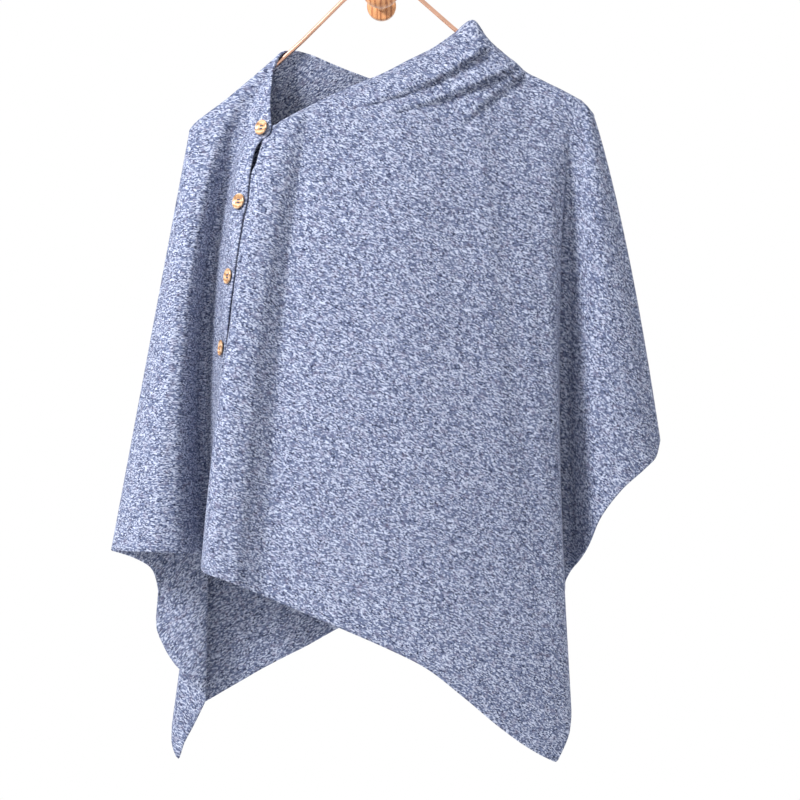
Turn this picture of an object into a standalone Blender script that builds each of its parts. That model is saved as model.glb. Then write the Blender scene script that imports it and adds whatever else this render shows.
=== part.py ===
import math

import bmesh
import bpy
import numpy as np

# Sizes in mm, each read to the right of, below and in front of one setting-out corner.
# The corner is level with the hanger plane, and the tables hold what is seen from SEEN_FROM.
SEEN_FROM = 2300.0
SEEN_CENTRE = 400.0
PEG_RIGHT = 381.0
PEG_DOWN = -6.0
HANGER_OFF_WALL = 75.0

# The cloth
WALL = 2.0
SEAM_GAP = 0.3
CREST_SHARE = 0.02
# Folds that turn inward begin below this height, clear of the hanger's bottom bar
FOLD_START = 140.0
LAP_INSET = 3.2

# The wire hanger and the peg
WIRE = 4.4
CLEAR = 0.3
STEM = 12.0
BALL = 38.0
BALL_FORE = 27.0
ROSE = 30.0
ROSE_DEEP = 8.0

# The buttons
BUTTON = 15.5
BUTTON_DEEP = 3.0
BUTTON_IN = 8.5
FIRST_BUTTON_PROUD = 0.9
BUTTON_PROUD = 0.2
BUTTON_DOWN = (124.7, 198.3, 273.5, 346.0)

# Grid of the solids: columns in each stretch and rows below the shoulder
COLUMNS = {"front": 46, "back": 42, "left_wrap": 22}
ROWS = {"front": 30, "back": 17, "left_wrap": 22}
ARC_ROWS = 3

# One row for each fold line of the cape, from the front's buttoned edge round to the left one.
# top: right, down, stand off the hanger plane. hem: right, down, fore. sway: sideways bow.
# belly: outward bow. lift: height above the wire where the cloth goes over it, 0 on a free edge.
FRONT = (
    ("lap_edge", 264, 128, 20, 213, 564, 7, 0, 0, 0),
    ("beside_lap", 276, 125, 32, 212, 565, 22, 0, 0, 0),
    ("flank", 280, 122, 31, 204.5, 566, 37, -15, 20, 0),
    ("ridge_side", 284, 120, 30, 201.5, 568, 50, -15, 20, 0),
    ("ridge_turn", 288, 118, 30, 205, 572.5, 64, -14, 16, 0),
    ("ridge_crest", 293, 115, 29, 216, 576.5, 75, -11, 12, 0),
    ("ridge_light", 299, 112, 28, 232, 582, 76, -10, 10, 0),
    ("ridge_end", 305, 109, 27, 248, 588.5, 67, -9, 8, 0),
    ("front_valley", 312, 105.5, 26, 265, 595.5, 61, -8, 5, 0),
    ("after_valley", 323, 100, 25, 285, 604, 65, -6, 8, 0),
    ("front_1", 341, 91.5, 23, 313, 616, 71, -3, 10, 0),
    ("front_2", 361, 83, 21, 346, 630, 75, 0, 11, 0),
    ("front_3", 384, 73.5, 18, 385, 647, 77, 0, 12, 0),
    ("front_4", 408, 61, 14, 425, 667, 76, 0, 12, 0),
    ("front_5", 432, 49, 9, 464, 697, 72, 0, 11, 0),
    ("front_6", 454, 34, 5, 500, 727, 65, 0, 10, 0),
    ("peak", 472.6, 20.7, 7, 528, 747, 58, 0, 9, 21),
    ("stack_1", 484, 35, 7, 547, 757.5, 52, 0, 7, 15),
    ("tip", 500, 52, 6, 556, 761, 48, 0, 6, 10),
    ("tip_side", 514, 62, 5, 560.5, 754, 45, 0, 6, 8),
    ("shoulder_1", 526, 73, 4.5, 569, 731, 38, -2, 6, 7),
    ("shoulder_2", 540, 80, 4, 570.5, 712, 28, -2, 8, 7),
    ("contour_1", 552, 86, 4, 567.5, 681, 13, -3, 10, 7),
    ("contour_2", 562, 91, 4, 565, 640, -4, -6, 9, 7),
    ("contour_3", 570, 95, 4, 563.5, 604, -20, -8, 4, 7),
    ("sleeve_valley", 576, 98.5, 4, 565, 583, -29, -13, -6, 6.5),
    ("valley_side", 580, 100.5, 4, 571, 570, -27, -9, -5, 6.5),
    ("sleeve_turn", 583, 103, 4, 580, 559, -15, -4, 0, 6),
    ("sleeve_1", 585, 105, 4, 588, 546, -3, -1, 2, 6),
    ("sleeve_2", 587, 107, 4, 600, 518.6, 8, 0, 4, 6),
    ("sleeve_3", 589, 109.5, 3.4, 622, 489, 12, 1, 4, 5),
    ("sleeve_4", 591, 112, 2.2, 645, 468, 7, 3, 2, 4),
    ("sleeve_5", 592.3, 113.7, 1.2, 656, 456, -2, 4, 0, 3),
)
RIGHT_SIDE = ("right_side", 593.5, 116, 0, 659.5, 440, -12, 6, 0, 2)
BACK = (
    ("back_1", 592, 113.5, 1.2, 652, 444, -23, 4, 0, 3),
    ("back_2", 588, 109, 3.6, 636, 454, -34, 2, 0, 5),
    ("back_3", 580, 102, 4, 606, 471, -44, 0, 3, 6),
    ("back_4", 566, 93, 4, 566, 494, -47, 0, 5, 7),
    ("back_5", 546, 83, 4, 526, 518, -42, 0, 5, 7),
    ("back_6", 526, 73, 4.5, 488, 540, -49, 0, 5, 7),
    ("back_7", 506, 56, 5, 452, 561, -54, 0, 5, 9),
    ("back_8", 488, 40, 6, 420, 580, -48, 0, 5, 13),
    ("back_peak", 472.6, 20.7, 7, 392, 596, -46, 0, 5, 21),
    ("nape_1", 463, 37, 9, 372, 608, -51, 0, 5, 0),
    ("nape_2", 448, 56, 11, 352, 620, -55, 0, 5, 0),
    ("nape_3", 428, 71, 13, 330, 632, -52, 0, 5, 0),
    ("nape_4", 404, 80, 14, 306, 645.5, -47, 0, 5, 0),
    ("nape_5", 380, 81, 13, 284, 656.5, -50, 0, 5, 0),
    ("nape_6", 356, 74, 11, 263, 667.5, -55, 0, 4, 0),
    ("nape_7", 331, 64, 9, 243, 679, -57, 0, 4, 0),
    ("nape_8", 308, 54.5, 7, 224, 690, -58, 0, 3, 0),
    ("nape_9", 293, 51.2, 5, 206, 700.5, -57, 0, 3, 0),
    ("neck_left", 284, 52, 4, 192, 708, -56, 0, 3, 6),
    ("pleat_a1", 273, 60.6, 4, 179, 715.5, -54, 0, 2, 7.5),
    ("pleat_a2", 262, 70.2, 4, 173, 723, -50, 0, 2, 6.5),
    ("pleat_a3", 252, 78.8, 4, 172.3, 742, -45, 0, 1, 6.3),
    ("corner", 243, 86.3, 4, 178.5, 758, -42, 0, 0, 6.3),
    ("pleat_b1", 236, 92.3, 4, 184.5, 742, -40, 0, 0, 6.3),
    ("pleat_b2", 229, 98.2, 4, 191.5, 729, -38, 0, 0, 6.2),
    ("pleat_b3", 222, 103.4, 4, 199.5, 713, -35, 0, 0, 6.2),
    ("pleat_c1", 216, 108, 4, 205.3, 698, -30, 0, 0, 6.2),
    ("pleat_c2", 210, 112.4, 4, 199, 687, -25, 0, 0, 6.2),
    ("pleat_c3", 206, 115.4, 4, 188, 675.5, -22, 0, 0, 6.2),
    ("inner_1", 203, 117.6, 4, 176, 664.8, -22, 0, 0, 6.2),
    ("inner_2", 200, 119.8, 3.9, 163.5, 645, -23, 0, 0, 6),
    ("inner_3", 198, 121.4, 3.7, 156.5, 625, -23, 0, 0, 5.8),
    ("inner_4", 196, 123.3, 3.3, 158.7, 598, -21, 0, 0, 5),
    ("inner_5", 194, 125.6, 2.6, 153, 570, -18, 0, 0, 4),
    ("inner_6", 192, 128, 1.4, 134, 557, -11, 0, 0, 3),
)
LEFT_SIDE = ("left_side", 190, 131, 0, 112, 550, 0, 0, 0, 2)
LEFT = (
    ("left_1", 192, 128, 1.4, 117.5, 550.3, 11, 0, 2, 3),
    ("left_2", 196, 123.3, 3.3, 127, 550.5, 23, -2, 3, 5),
    ("left_3", 203, 117.6, 4, 141, 551, 33, -5, 5, 6.2),
    ("left_4", 214, 109.4, 4, 157, 551.5, 38, -11, 7, 6.2),
    ("left_5", 226, 100.5, 4, 173, 552, 35, -17, 8, 6.2),
    ("left_6", 238, 90.5, 4, 187, 552.5, 23, -22, 6, 6.3),
    ("left_7", 250, 80.5, 4, 198, 553, 6, -27, 2, 6.3),
    ("valley_in", 259, 72.8, 4, 206, 554, -4, -31, -2, 6.4),
    ("valley_deep", 267, 66, 4, 212, 555, -7, -32, -4, 7),
    ("valley_out", 275.5, 58.7, 4, 211, 556, 2, -20, 0, 7.5),
    ("wrap_edge", 284, 52, 4, 209, 556, 17, 0, 0, 6),
)

# The left wrap's buttoned edge: down, right, fore, how far it faces left in degrees, lap of the front
EDGE = (
    (52, 284, 0, 10, 10),
    (55, 279.5, 4, 14, 10),
    (60, 276, 7, 20, 10),
    (70, 272.8, 11, 30, 10),
    (85, 271, 16, 38, 10),
    (103, 269.8, 23, 42, 10),
    (127, 270.8, 31, 44, 10),
    (134, 268.5, 31, 44, 7),
    (140, 261, 31, 44, 0),
    (148, 255.6, 32, 44, -5),
    (159, 252.3, 35, 44, -6),
    (172, 249.6, 38, 44, -1),
    (184, 248.2, 40, 44, 6),
    (198, 247, 42, 45, 10),
    (219, 242.3, 45, 50, 5),
    (235, 239.6, 47, 55, 1),
    (252, 236.8, 49, 60, 5),
    (273, 234, 51, 66, 10),
    (306, 229.6, 52.5, 72, 3),
    (346, 225.5, 52, 78, 10),
    (400, 219.4, 46, 84, 6),
    (480, 213, 32, 92, 4),
    (566, 209, 17, 96, 4),
)

# Lapped pleats at the right of the neck: start and end as right and down, sag, height, fade
PLEATS = (
    (491, 45.5, 352, 108, 8, 6.0, 0.8),
    (519, 66, 384, 114.5, 4, 6.5, 0.8),
    (526, 73.5, 453, 136, -4, 5.0, 0.9),
)
PLEAT_ABOVE = 13.0
PLEAT_BELOW = 10.0
PLEAT_STEP = 2.5

# Corners of the wire's closed path: right, down, bend radius
WIRE_PATH = (
    (380, -36, 58.2),
    (302, 41.5, 120),
    (260, 79, 120),
    (204, 123.6, 40),
    (193.5, 132.6, 7),
    (588, 112.6, 7),
    (572, 104, 40),
    (526, 80.5, 120),
    (457, 31.5, 120),
)


def pchip(knots, values, at):
    """Smooth curve through the values at the knots, without overshoot."""
    step = np.diff(knots)[:, None]
    slope = np.diff(values, axis=0) / step
    before = slope[:-1]
    after = slope[1:]
    one = 2 * step[1:] + step[:-1]
    two = step[1:] + 2 * step[:-1]
    same = before * after > 0
    safe_before = np.where(same, before, 1.0)
    safe_after = np.where(same, after, 1.0)
    inner = np.where(same, (one + two) / (one / safe_before + two / safe_after), 0.0)
    lean = np.vstack([slope[:1], inner, slope[-1:]])
    cell = np.clip(np.searchsorted(knots, at, side="right") - 1, 0, len(knots) - 2)
    wide = step[cell]
    f = ((at - knots[cell])[:, None]) / wide
    low = values[cell] * (1 + 2 * f) * (1 - f) ** 2 + lean[cell] * wide * f * (1 - f) ** 2
    high = values[cell + 1] * f * f * (3 - 2 * f) + lean[cell + 1] * wide * f * f * (f - 1)
    return low + high


def place(seen):
    """Metres in the part's frame for sizes as seen: right, down, fore."""
    near = (SEEN_FROM - seen[..., 2]) / SEEN_FROM
    x = SEEN_CENTRE + (seen[..., 0] - SEEN_CENTRE) * near - PEG_RIGHT
    z = -(SEEN_CENTRE + (seen[..., 1] - SEEN_CENTRE) * near - PEG_DOWN)
    y = -(HANGER_OFF_WALL + seen[..., 2])
    return np.stack([x, y, z], axis=-1) / 1000


def bow(t):
    return t**0.8 * (1 - t) ** 1.1 / 0.2743


def fold_line(row, side, rows):
    """Points of one fold line. Rows under CREST_SHARE go over the wire, the rest hang."""
    _, top_r, top_d, stand, hem_r, hem_d, hem_f, sway, belly, lift = row
    arc = np.clip(rows / CREST_SHARE, 0, 1) * math.pi / 2
    t = np.clip((rows - CREST_SHARE) / (1 - CREST_SHARE), 0, 1)
    if not lift:
        t = 0.008 + 0.992 * t
        t = np.where(rows < CREST_SHARE, 0.008 * rows / CREST_SHARE, t)
    begin = (FOLD_START - top_d) / (hem_d - top_d)
    late = np.clip((t - begin) / (1 - begin), 0, 1)
    right = top_r + (hem_r - top_r) * t + sway * bow(t)
    down = top_d + lift + (hem_d - top_d - lift) * t
    grown = side * hem_f - stand
    out = stand + max(grown, 0) * t**0.7 + min(grown, 0) * late**0.8
    out = out + max(belly, 0) * bow(t) + min(belly, 0) * bow(late)
    if lift:
        over = rows < CREST_SHARE
        down = np.where(over, top_d + lift * (1 - np.cos(arc)), down)
        out = np.where(over, stand * np.sin(arc), out)
    return np.stack([right, down, side * out], axis=-1)


def edge_at(down):
    """Right, fore, facing and lap of the buttoned edge at each height."""
    table = np.array(EDGE, float)
    found = pchip(table[:, 0], table[:, 1:], np.clip(down, table[0, 0], table[-1, 0]))
    return found[:, 0], found[:, 1], np.radians(found[:, 2]), found[:, 3]


def along_edge(points, shift, inset, blend):
    """Moves a fold line onto the buttoned edge, shifted along the lap and set in behind it."""
    right, fore, facing, lap = edge_at(points[:, 1])
    shift = -lap if shift is None else shift
    onto = points.copy()
    onto[:, 0] = right + shift * np.cos(facing) + inset * np.sin(facing)
    onto[:, 2] = fore + shift * np.sin(facing) - inset * np.cos(facing)
    return points + (onto - points) * blend[:, None]


def fold_lines(rows):
    """Every fold line in order round the cape, and where the seams between stretches fall."""
    lines = [fold_line(row, 1, rows) for row in FRONT]
    whole = np.ones_like(rows)
    lines[0] = along_edge(lines[0], None, LAP_INSET, whole)
    lines[1] = along_edge(lines[1], 5.0, LAP_INSET, whole)
    right_seam = len(lines)
    lines.append(fold_line(RIGHT_SIDE, 1, rows))
    lines += [fold_line(row, -1, rows) for row in BACK]
    left_seam = len(lines)
    lines.append(fold_line(LEFT_SIDE, 1, rows))
    lines += [fold_line(row, 1, rows) for row in LEFT]
    start = np.clip((rows - CREST_SHARE) / 0.08, 0, 1)
    eased = start * start * (3 - 2 * start)
    lines[-2] = along_edge(lines[-2], -14.0, 0.0, eased)
    lines[-1] = along_edge(lines[-1], 0.0, 0.0, whole)
    return np.array(lines), right_seam, left_seam


def pleat_height(right, down):
    """How far the lapped pleats at the neck stand forward."""
    total = np.zeros_like(right)
    for start_r, start_d, end_r, end_d, sag, height, fade in PLEATS:
        run = math.hypot(end_r - start_r, end_d - start_d)
        ur = (end_r - start_r) / run
        ud = (end_d - start_d) / run
        q = ((right - start_r) * ur + (down - start_d) * ud) / run
        below = (down - start_d) * -ur + (right - start_r) * ud
        below = below - sag * 4 * np.clip(q, 0, 1) * (1 - np.clip(q, 0, 1))
        strength = height * np.clip(1 - q, 0, 1) ** fade * np.clip(1 + q * 8, 0, 1)
        step = np.clip(below / PLEAT_STEP + 0.5, 0, 1)
        above = np.exp(np.minimum(below, 0) / PLEAT_ABOVE)
        under = -0.45 * np.exp(-np.maximum(below, 0) / PLEAT_BELOW)
        total += strength * (above + (under - above) * step * step * (3 - 2 * step))
    return total


def seen_grid(columns, rows):
    """Cape points as seen for column places (in fold-line knots) and rows."""
    lines, _, _ = fold_lines(rows)
    knots = knot_places()
    flat = lines.reshape(len(lines), -1)
    grid = pchip(knots, flat, columns).reshape(len(columns), len(rows), 3)
    knots_right = knots[len(FRONT)]
    on_front = np.clip((knots_right - columns) / 40, 0, 1)[:, None]
    deep = np.clip((rows - CREST_SHARE * 0.4) / CREST_SHARE, 0, 1)[None, :]
    raised = pleat_height(grid[..., 0], grid[..., 1]) * on_front * deep
    grid[..., 2] += raised
    return grid


def knot_places():
    """Distance round the cape at which each fold line falls, from mean spacing."""
    rows = np.array([0.3, 0.6, 0.8, 1.0])
    lines, _, _ = fold_lines(rows)
    gaps = np.linalg.norm(np.diff(lines, axis=0), axis=2).mean(axis=1)
    return np.concatenate([[0.0], np.cumsum(np.maximum(gaps, 4.0))])


def hang_rows(count, power):
    arc = np.linspace(0, CREST_SHARE, ARC_ROWS, endpoint=False)
    hang = CREST_SHARE + (1 - CREST_SHARE) * np.linspace(0, 1, count) ** power
    return np.concatenate([arc, hang])


def columns_between(first, last, count):
    """Column places between two fold lines, with the sharp turns kept."""
    knots = knot_places()[first : last + 1]
    share = np.linspace(knots[0], knots[-1], count)
    for knot in knots[1:-1]:
        near = np.argmin(abs(share - knot))
        if 0 < near < count - 1 and abs(share[near] - knot) < 0.45 * (share[1] - share[0]):
            share[near] = knot
    return np.sort(share)


def unit(v):
    return v / np.maximum(np.linalg.norm(v, axis=-1, keepdims=True), 1e-12)


def cloth_normals(columns, rows):
    """Outward normals of the cape at each grid point."""
    step_c = 1.0
    step_r = 0.003
    low = np.maximum(columns - step_c, 0)
    high = np.minimum(columns + step_c, knot_places()[-1])
    across = place(seen_grid(high, rows)) - place(seen_grid(low, rows))
    down = place(seen_grid(columns, np.minimum(rows + step_r, 1)))
    down = down - place(seen_grid(columns, np.maximum(rows - step_r, 0)))
    return unit(np.cross(down, across))


def stretch(first, last, name, free_from, free_to):
    """Outer and inner points of one stretch of the cape."""
    columns = columns_between(first, last, COLUMNS[name])
    rows = hang_rows(ROWS[name], 1.25)
    points = place(seen_grid(columns, rows))
    normals = cloth_normals(columns, rows)
    table = fold_tables()
    knots = knot_places()
    lifted = np.array([row[9] > 0 for row in table])
    for i, column in enumerate(columns):
        low = np.clip(np.searchsorted(knots, column + 1e-9) - 1, 0, len(knots) - 2)
        ends = lifted[low] and (lifted[low + 1] or column <= knots[low] + 1e-6)
        if not ends and not (lifted[low + 1] and column >= knots[low + 1] - 1e-6):
            continue
        side = -1 if name == "back" else 1
        ahead = place(seen_grid(np.array([min(column + 1, knots[-1])]), rows[:1]))[0, 0]
        behind = place(seen_grid(np.array([max(column - 1, 0)]), rows[:1]))[0, 0]
        run = ahead - behind
        flat = unit(np.array([-run[2], 0.0, run[0]]))
        normals[i, 0] = flat if flat[2] > 0 else -flat
        points[i, 0, 1] = -(HANGER_OFF_WALL + side * SEAM_GAP / 2) / 1000
    if not free_from:
        points[0] += unit(points[1] - points[0]) * SEAM_GAP / 2000
    if not free_to:
        points[-1] += unit(points[-2] - points[-1]) * SEAM_GAP / 2000
    half = WALL / 2000
    return points + normals * half, points - normals * half


def fold_tables():
    return FRONT + (RIGHT_SIDE,) + BACK + (LEFT_SIDE,) + LEFT


def material(name, colour, roughness, metallic):
    made = bpy.data.materials.new(name)
    made.use_nodes = True
    shader = made.node_tree.nodes["Principled BSDF"]
    shader.inputs["Base Color"].default_value = (*colour, 1)
    shader.inputs["Roughness"].default_value = roughness
    shader.inputs["Metallic"].default_value = metallic
    return made


def add_mesh(name, points, faces, made):
    mesh = bpy.data.meshes.new(name)
    mesh.from_pydata([tuple(map(float, p)) for p in points], [], faces)
    mesh.update()
    shaped = bmesh.new()
    shaped.from_mesh(mesh)
    bmesh.ops.recalc_face_normals(shaped, faces=shaped.faces)
    if shaped.calc_volume(signed=True) < 0:
        bmesh.ops.reverse_faces(shaped, faces=shaped.faces)
    for face in shaped.faces:
        face.smooth = True
    shaped.to_mesh(mesh)
    shaped.free()
    mesh.materials.append(made)
    obj = bpy.data.objects.new(name, mesh)
    bpy.context.scene.collection.objects.link(obj)
    return obj


def cloth_wall(name, first, last, made, free_from, free_to):
    """Closed wall between the outer and inner points of one stretch."""
    outer, inner = stretch(first, last, name, free_from, free_to)
    wide, tall = outer.shape[:2]
    half = wide * tall

    def spot(i, j, side):
        return side * half + i * tall + j

    faces = []
    for i in range(wide - 1):
        for j in range(tall - 1):
            faces.append((spot(i, j, 0), spot(i + 1, j, 0), spot(i + 1, j + 1, 0), spot(i, j + 1, 0)))
            faces.append((spot(i, j, 1), spot(i, j + 1, 1), spot(i + 1, j + 1, 1), spot(i + 1, j, 1)))
    rim = [(i, 0) for i in range(wide)]
    rim += [(wide - 1, j) for j in range(1, tall)]
    rim += [(i, tall - 1) for i in range(wide - 2, -1, -1)]
    rim += [(0, j) for j in range(tall - 2, 0, -1)]
    for a, b in zip(rim, rim[1:] + rim[:1]):
        faces.append((spot(*a, 0), spot(*a, 1), spot(*b, 1), spot(*b, 0)))
    points = np.concatenate([outer.reshape(-1, 3), inner.reshape(-1, 3)])
    return add_mesh(name, points, faces, made)


def rounded_path(corners, turn_steps):
    """A closed flat path with each corner replaced by its bend."""
    path = []
    count = len(corners)
    for i in range(count):
        here = np.array(corners[i][:2], float)
        before = unit(np.array(corners[i - 1][:2], float) - here)
        after = unit(np.array(corners[(i + 1) % count][:2], float) - here)
        radius = corners[i][2]
        half = math.acos(np.clip(before @ after, -1, 1)) / 2
        middle = here + unit(before + after) * radius / math.sin(half)
        turn = math.pi - 2 * half
        steps = max(2, round(turn / turn_steps))
        start = here + before * radius / math.tan(half) - middle
        way = np.sign(before[0] * after[1] - before[1] * after[0])
        for k in range(steps + 1):
            angle = -way * turn * k / steps
            c = math.cos(angle)
            s = math.sin(angle)
            path.append(middle + np.array([start[0] * c - start[1] * s, start[0] * s + start[1] * c]))
    return np.array(path)


def wire_hanger(made):
    path = rounded_path(WIRE_PATH, math.radians(14))
    seen = np.column_stack([path, np.zeros(len(path))])
    centre = place(seen)
    sides = 10
    points = []
    for i in range(len(centre)):
        run = unit(centre[(i + 1) % len(centre)] - centre[i - 1])
        across = np.cross(run, (0.0, 1.0, 0.0))
        for k in range(sides):
            angle = 2 * math.pi * k / sides
            reach = math.cos(angle) * across + math.sin(angle) * np.array((0.0, 1.0, 0.0))
            points.append(centre[i] + reach * WIRE / 2000)
    faces = []
    for i in range(len(centre)):
        ahead = (i + 1) % len(centre)
        for k in range(sides):
            side = (k + 1) % sides
            faces.append((i * sides + k, ahead * sides + k, ahead * sides + side, i * sides + side))
    return add_mesh("hanger", points, faces, made)


def turned(name, profile, sides, origin, axis, made):
    """A round piece from (radius, along) pairs in mm, closed where the radius is 0."""
    axis = unit(np.array(axis, float))
    helper = np.array((0.0, 0.0, 1.0)) if abs(axis[2]) < 0.9 else np.array((1.0, 0.0, 0.0))
    first = unit(np.cross(helper, axis))
    second = np.cross(axis, first)
    points = []
    rings = []
    for radius, along in profile:
        base = origin + axis * along / 1000
        if radius == 0:
            rings.append([len(points)])
            points.append(base)
            continue
        rings.append(list(range(len(points), len(points) + sides)))
        for k in range(sides):
            angle = 2 * math.pi * k / sides
            reach = math.cos(angle) * first + math.sin(angle) * second
            points.append(base + reach * radius / 1000)
    faces = []
    for low, high in zip(rings, rings[1:]):
        for k in range(sides):
            ahead = (k + 1) % sides
            if len(low) == 1:
                faces.append((low[0], high[k], high[ahead]))
            elif len(high) == 1:
                faces.append((low[k], low[ahead], high[0]))
            else:
                faces.append((low[k], low[ahead], high[ahead], high[k]))
    return add_mesh(name, points, faces, made)


def wall_peg(made):
    """Rose flat on the wall, stem and ball, along the viewer's line."""
    ball = BALL / 2
    centre = HANGER_OFF_WALL + BALL_FORE
    meet = math.asin(STEM / BALL)
    profile = [(0, 0), (ROSE / 2, 0), (ROSE / 2, ROSE_DEEP - 2), (ROSE / 2 - 2, ROSE_DEEP)]
    profile += [(STEM / 2, ROSE_DEEP + 0.5)]
    for k in range(11):
        angle = meet + (math.pi - meet) * k / 10
        radius = 0 if k == 10 else ball * math.sin(angle)
        profile.append((radius, centre - ball * math.cos(angle)))
    return turned("peg", profile, 24, np.zeros(3), (0, -1, 0), made)


def button_seat(down):
    """Point, outward direction and stand-off on the left wrap where a button sits."""
    knots = knot_places()
    rows = np.linspace(CREST_SHARE, 1, 1200)
    edge = seen_grid(knots[-1:], rows)[0]
    row = rows[np.argmin(abs(edge[:, 1] - down))]
    back = np.linspace(0, 24, 97)
    path = place(seen_grid(knots[-1] - back, np.array([row])))[:, 0]
    reach = np.linalg.norm(path - path[0], axis=1) * 1000
    column = knots[-1] - back[np.argmin(abs(reach - BUTTON_IN))]
    point = place(seen_grid(np.array([column]), np.array([row])))[0, 0]
    columns = np.clip(column + np.linspace(-9, 9, 19), 0, knots[-1])
    around = place(seen_grid(columns, row + np.linspace(-0.018, 0.018, 19)))
    near = np.linalg.norm(around - point, axis=-1) < BUTTON / 1900
    patch = around[near] - around[near].mean(axis=0)
    normal = np.linalg.svd(patch)[2][2]
    normal = normal if normal[1] < 0 else -normal
    stand = ((around[near] - point) @ normal).max() * 1000
    return point, normal, stand


def button(number, down, made):
    """A round button with a raised rim and a dished middle."""
    point, normal, stand = button_seat(down)
    rim = BUTTON / 2
    base = stand + WALL / 2 + CLEAR + (FIRST_BUTTON_PROUD if number == 1 else BUTTON_PROUD)
    top = base + BUTTON_DEEP
    profile = [(0, base), (rim - 2.5, base), (rim - 0.5, base + 0.8), (rim, base + 1.5)]
    profile += [(rim, top - 0.7), (rim - 0.7, top), (rim - 1.6, top), (rim - 2.6, top - 0.8)]
    profile += [(0, top - 1.0)]
    return turned(f"button_{number}", profile, 18, point, normal, made)


for old in list(bpy.data.objects):
    bpy.data.objects.remove(old)

knit = {
    "front": material("knit_front", (0.28, 0.31, 0.46), 0.95, 0),
    "back": material("knit_back", (0.28, 0.31, 0.46), 0.95, 0),
    "left_wrap": material("knit_left", (0.27, 0.30, 0.45), 0.95, 0),
}
shell = material("button_shell", (0.55, 0.33, 0.18), 0.35, 0)
copper = material("copper_wire", (0.72, 0.42, 0.30), 0.3, 1)
wood = material("peg_wood", (0.58, 0.24, 0.09), 0.5, 0)

right_seam = len(FRONT)
left_seam = right_seam + 1 + len(BACK)
cloth_wall("front", 0, right_seam, knit["front"], True, False)
cloth_wall("back", right_seam, left_seam, knit["back"], False, False)
cloth_wall("left_wrap", left_seam, len(fold_tables()) - 1, knit["left_wrap"], False, True)
for number, down in enumerate(BUTTON_DOWN, 1):
    button(number, down, shell)
wire_hanger(copper)
wall_peg(wood)
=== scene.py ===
import math

import bmesh
import bpy
import numpy as np
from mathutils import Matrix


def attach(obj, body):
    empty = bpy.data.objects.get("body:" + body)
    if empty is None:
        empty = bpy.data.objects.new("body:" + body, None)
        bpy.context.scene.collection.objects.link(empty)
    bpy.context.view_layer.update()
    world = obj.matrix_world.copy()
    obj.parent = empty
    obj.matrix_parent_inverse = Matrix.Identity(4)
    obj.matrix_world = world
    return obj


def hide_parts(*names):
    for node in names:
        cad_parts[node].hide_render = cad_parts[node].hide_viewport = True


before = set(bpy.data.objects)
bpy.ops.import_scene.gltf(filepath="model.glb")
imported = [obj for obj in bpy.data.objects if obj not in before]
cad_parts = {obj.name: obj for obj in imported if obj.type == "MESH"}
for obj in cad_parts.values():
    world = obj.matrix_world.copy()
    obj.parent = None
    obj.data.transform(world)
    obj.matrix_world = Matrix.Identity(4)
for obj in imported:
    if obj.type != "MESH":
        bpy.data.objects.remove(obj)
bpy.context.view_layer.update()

# Sizes in mm, each read to the right of, below and in front of one setting-out corner,
# as seen from SEEN_FROM in front of the hanger plane. The part's own tables are repeated here.
SEEN_FROM = 2300.0
SEEN_CENTRE = 400.0
PEG_RIGHT = 381.0
PEG_DOWN = -6.0
HANGER_OFF_WALL = 75.0

# The cloth
WALL = 2.0
CREST_SHARE = 0.02
FOLD_START = 140.0
LAP_INSET = 3.2

# The wire hanger and the peg
WIRE = 4.4
STEM = 12.0
BALL = 38.0
BALL_FORE = 27.0
ROSE = 30.0
ROSE_DEEP = 8.0

# The buttons
BUTTON = 15.5
BUTTON_DEEP = 3.0
BUTTON_IN = 8.5
HOLE = 1.5
HOLE_OUT = 1.45
THREAD = 1.1
SHANK = 3.2
BUTTON_DOWN = (124.7, 198.3, 273.5, 346.0)
CLEAR = 0.3

# Grid of each cloth stretch: columns and rows
COLUMNS = {"front": 250, "back": 230, "left_wrap": 110}
ROWS = {"front": 176, "back": 150, "left_wrap": 150}
ARC_ROWS = 7
ROW_POWER = 1.25

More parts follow.
